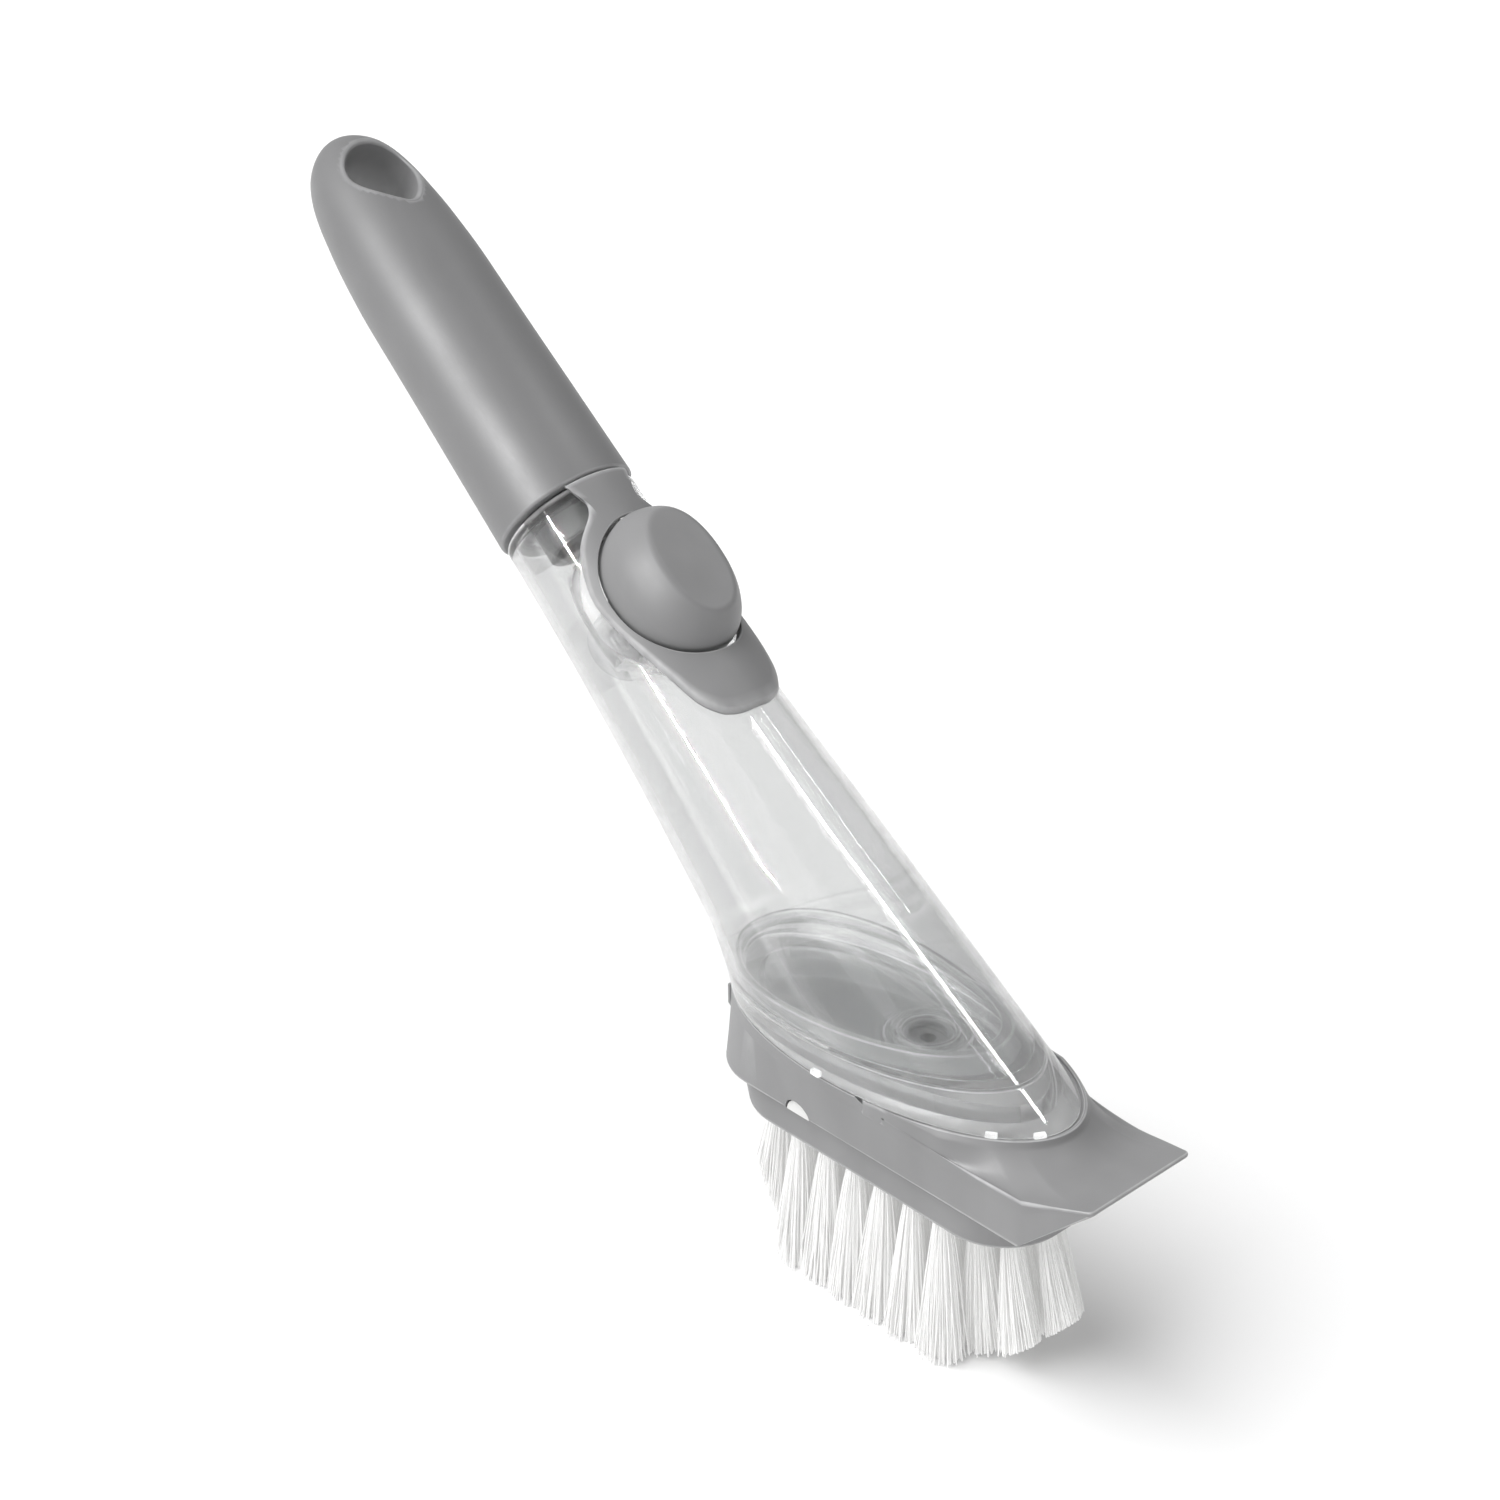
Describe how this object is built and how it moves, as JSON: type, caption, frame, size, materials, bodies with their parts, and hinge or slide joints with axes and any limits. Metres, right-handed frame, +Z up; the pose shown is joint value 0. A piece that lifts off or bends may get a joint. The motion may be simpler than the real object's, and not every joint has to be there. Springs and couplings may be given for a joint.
{
  "type": "dish brush",
  "caption": "Soap-dispensing dish brush with a screw-on soft grip, clear tank, pump button, scraper head and bristles.",
  "frame": {"origin": "on the bristle tips' resting plane, under the middle of the tank's oval foot, at the middle strand's tip", "axes": "+X towards the scraper blade, +Z up, square to the head; the handle leans back towards -X and up"},
  "size_m": [0.2268, 0.0402, 0.1955],
  "materials": {
    "soft_grip": "soft-touch matte",
    "satin_grey": "fine satin",
    "clear_plastic": "clear, polished",
    "grey_silicone": "matte silicone",
    "white_plastic": "satin",
    "white_nylon": "nylon bristles",
    "spring_steel": "drawn wire"
  },
  "bodies": {
    "head": {"head_shell": "satin_grey", "bristle_block": "satin_grey", "bristle_row_1": "white_nylon", "bristle_row_2": "white_nylon", "bristle_row_3": "white_nylon", "bristle_row_4": "white_nylon", "bristle_row_5": "white_nylon", "lock_plug_near": "white_plastic", "lock_plug_far": "white_plastic", "spout_seal": "grey_silicone"},
    "tank": {"soap_tank": "clear_plastic", "button_well": "clear_plastic", "tank_foot": "clear_plastic", "outlet_valve": "grey_silicone", "valve_retainer": "satin_grey", "button_collar": "satin_grey", "pump_cup": "white_plastic", "cup_gasket": "grey_silicone", "button_spring": "spring_steel"},
    "button": {"push_button": "satin_grey", "piston_seal": "grey_silicone"},
    "stopper": {"neck_seal": "grey_silicone"},
    "grip": {"handle_grip": "soft_grip", "grip_insert": "satin_grey"}
  },
  "joints": [
    {"name": "head_release", "type": "slide", "parent": "head", "child": "tank", "axis": [0, 0, 1], "range_m": [0, 0.008]},
    {"name": "button_press", "type": "slide", "parent": "tank", "child": "button", "axis": [-0.6401, 0, -0.7683], "range_m": [0, 0.004], "stiffness_N_per_m": 400, "springref_m": -0.002, "deforming": ["button_spring"]},
    {"name": "grip_travel", "type": "slide", "parent": "tank", "child": "stopper", "axis": [-0.7683, 0, 0.6401], "range_m": [0, 0.008]},
    {"name": "grip_turn", "type": "hinge", "parent": "stopper", "child": "grip", "pos_m": [-0.11026, 0, 0.14602], "axis": [-0.7683, 0, 0.6401], "range_deg": [0, 720]}
  ],
  "couplings": [
    {"joint": "grip_travel", "follows": "grip_turn", "m_per_rad": 0.0006366}
  ]
}
